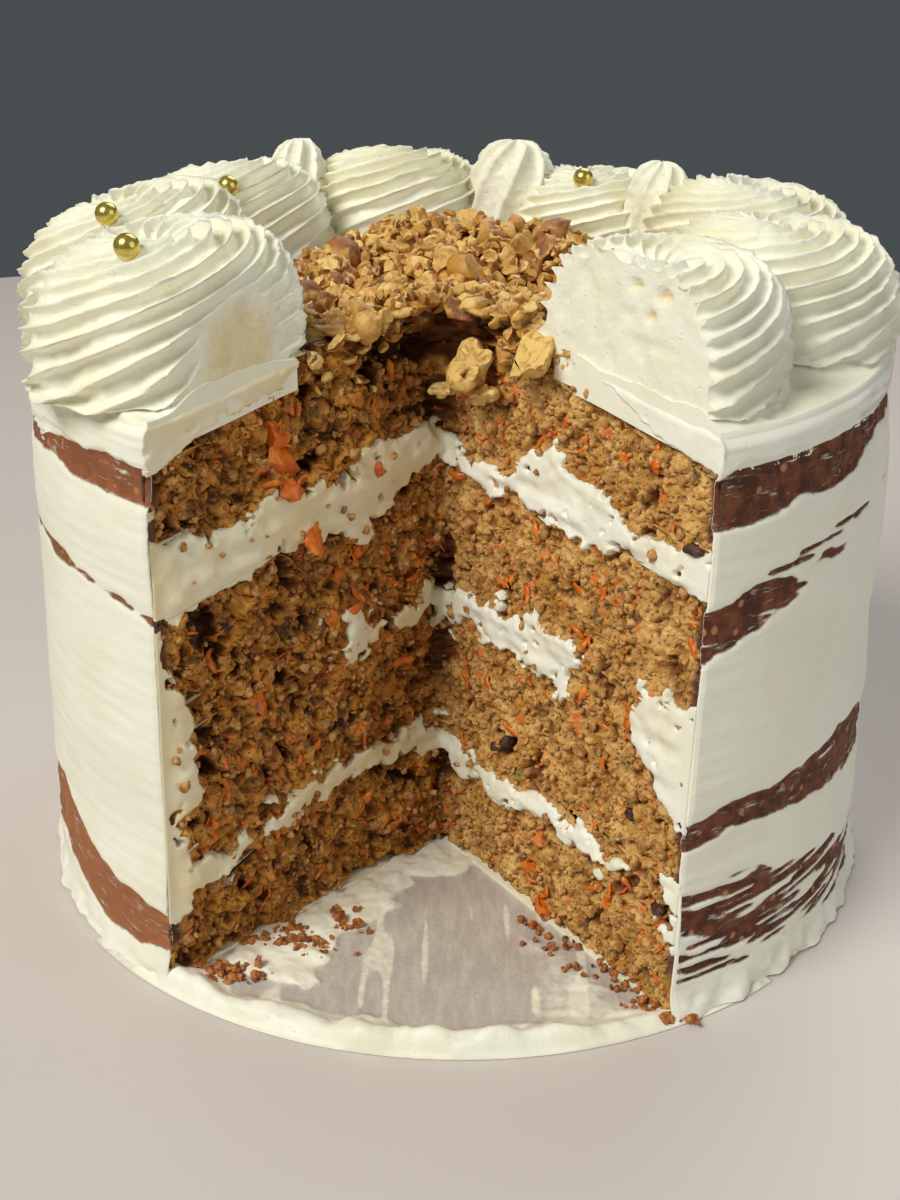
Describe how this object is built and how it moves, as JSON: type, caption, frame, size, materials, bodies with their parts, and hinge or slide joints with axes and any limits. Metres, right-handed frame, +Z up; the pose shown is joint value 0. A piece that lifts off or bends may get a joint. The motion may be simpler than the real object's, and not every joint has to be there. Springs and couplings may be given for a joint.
{
  "type": "carrot layer cake",
  "caption": "Tall round carrot cake with cream fillings, scraped cream side, piped rosettes and chopped walnuts, with a wide wedge cut out.",
  "frame": {"origin": "middle of the cake's foot, on the surface that it stands on", "axes": "+Z up through the layers; -Y is the front, where the wedge is cut out; +X is to the right seen from the front"},
  "size_m": [0.2, 0.2, 0.1574],
  "materials": {
    "cream": "matte spread cream, ivory white, streaked where it is scraped thin",
    "piped_cream": "soft satin whipped cream, ivory white",
    "sponge": "rough open crumb, golden brown with orange carrot shreds",
    "walnut": "dry chopped nut, pale tan flesh with brown skin",
    "pearl": "shiny gold sugar pearl"
  },
  "bodies": {
    "root": {"base_cream": "cream", "sponge_1": "sponge", "filling_1": "cream", "sponge_2": "sponge", "filling_2": "cream", "sponge_3": "sponge", "filling_3": "cream", "sponge_4": "sponge", "top_cream": "cream", "side_coat": "cream", "rosette_1": "piped_cream", "rosette_2": "piped_cream", "rosette_3": "piped_cream", "rosette_4": "piped_cream", "rosette_5": "piped_cream", "rosette_6": "piped_cream", "rosette_7": "piped_cream", "rosette_8": "piped_cream", "dollop_1": "piped_cream", "dollop_2": "piped_cream", "dollop_3": "piped_cream", "walnut_heap": "walnut", "walnut_piece_1": "walnut", "walnut_piece_2": "walnut"}
  },
  "joints": []
}
